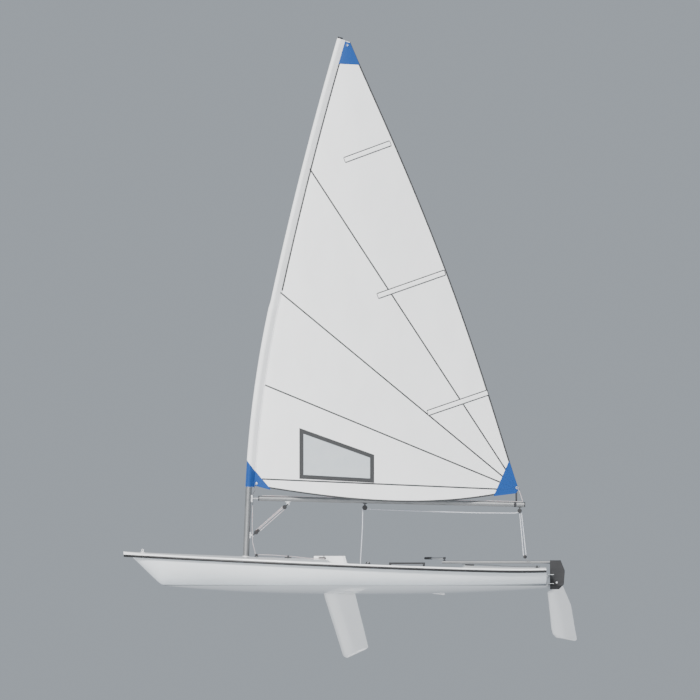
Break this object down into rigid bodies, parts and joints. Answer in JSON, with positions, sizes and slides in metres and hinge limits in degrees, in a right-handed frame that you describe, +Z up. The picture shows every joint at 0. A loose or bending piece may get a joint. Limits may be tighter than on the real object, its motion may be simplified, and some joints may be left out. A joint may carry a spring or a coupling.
{
  "type": "single-handed sailing dinghy",
  "caption": "Single-handed sailing dinghy with decked hull and open cockpit, unstayed two-piece mast in a sleeved sail, boom, daggerboard and lifting rudder with tiller.",
  "frame": {"origin": "on the centreline at the waterline, midway between the bow and the transom", "axes": "+X towards the bow, +Y to port, +Z up"},
  "size_m": [4.532, 1.6068, 6.2156],
  "materials": {
    "gelcoat_white": "glossy white gelcoat",
    "gelcoat_grey": "glossy very light grey gelcoat",
    "foil_white": "glossy white foil",
    "black_trim": "black rubbing strake",
    "black_plastic": "moulded black plastic",
    "webbing": "black webbing",
    "steel": "satin stainless steel",
    "alloy": "anodised silver",
    "sailcloth": "white woven sailcloth",
    "window_film": "clear film",
    "blue_cloth": "blue corner cloth",
    "carbon_black": "dark composite tube",
    "grip_foam": "ribbed grip"
  },
  "bodies": {
    "hull": {"hull_shell": "gelcoat_grey", "deck": "gelcoat_white", "rub_rail": "black_trim", "mast_step": "gelcoat_white", "daggerboard_case": "gelcoat_white", "bow_eye": "steel", "control_line_plate": "black_plastic", "control_line_cleats": "black_plastic", "mainsheet_ratchet": "black_plastic", "side_deck_cleats": "black_plastic", "traveller_fairleads": "black_plastic", "traveller_cleat": "black_plastic", "grab_rails": "black_plastic", "hiking_strap": "webbing", "strap_brackets": "steel", "bailer": "steel", "gudgeons": "steel", "transom_drain": "black_plastic"},
    "board": {"daggerboard": "foil_white", "daggerboard_stops": "black_plastic"},
    "rig": {"lower_mast": "alloy", "upper_mast": "alloy", "mast_collar": "black_plastic", "mast_cap": "black_plastic", "gooseneck": "steel", "vang_tang": "steel", "boom": "alloy", "boom_plugs": "black_plastic", "vang_key": "steel", "vang_lower_block": "black_plastic", "vang_upper_block": "black_plastic", "boom_middle_block": "black_plastic", "boom_end_block": "black_plastic", "outhaul_cleat": "black_plastic", "clew_strap": "webbing", "luff_sleeve": "sailcloth", "sail_panel": "sailcloth", "sail_window": "window_film", "batten_pockets": "sailcloth", "corner_patches": "blue_cloth"},
    "rudder": {"rudder_head": "black_plastic", "rudder_pintles": "steel", "rudder_bolt": "steel", "tiller": "alloy", "extension_joint": "black_plastic"},
    "blade": {"rudder_blade": "foil_white"},
    "extension": {"tiller_extension": "carbon_black", "extension_grip": "grip_foam"}
  },
  "joints": [
    {"name": "mast_swing", "type": "hinge", "parent": "hull", "child": "rig", "pos_m": [0.89, 0, 0.2907], "axis": [-0.0394, 0, 0.9992], "range_deg": [-90, 90]},
    {"name": "daggerboard_lift", "type": "slide", "parent": "hull", "child": "board", "axis": [0.2588, 0, 0.9659], "range_m": [0, 0.5]},
    {"name": "rudder_steer", "type": "hinge", "parent": "hull", "child": "rudder", "pos_m": [-2.137, 0, 0], "axis": [0, 0, 1], "range_deg": [-60, 60]},
    {"name": "blade_lift", "type": "hinge", "parent": "rudder", "child": "blade", "pos_m": [-2.217, 0, 0.03], "axis": [0, 1, 0], "range_deg": [0, 95]},
    {"name": "extension_swing", "type": "hinge", "parent": "rudder", "child": "extension", "pos_m": [-1.094, 0, 0.273], "axis": [0, 0, 1], "range_deg": [-75, 75]}
  ]
}
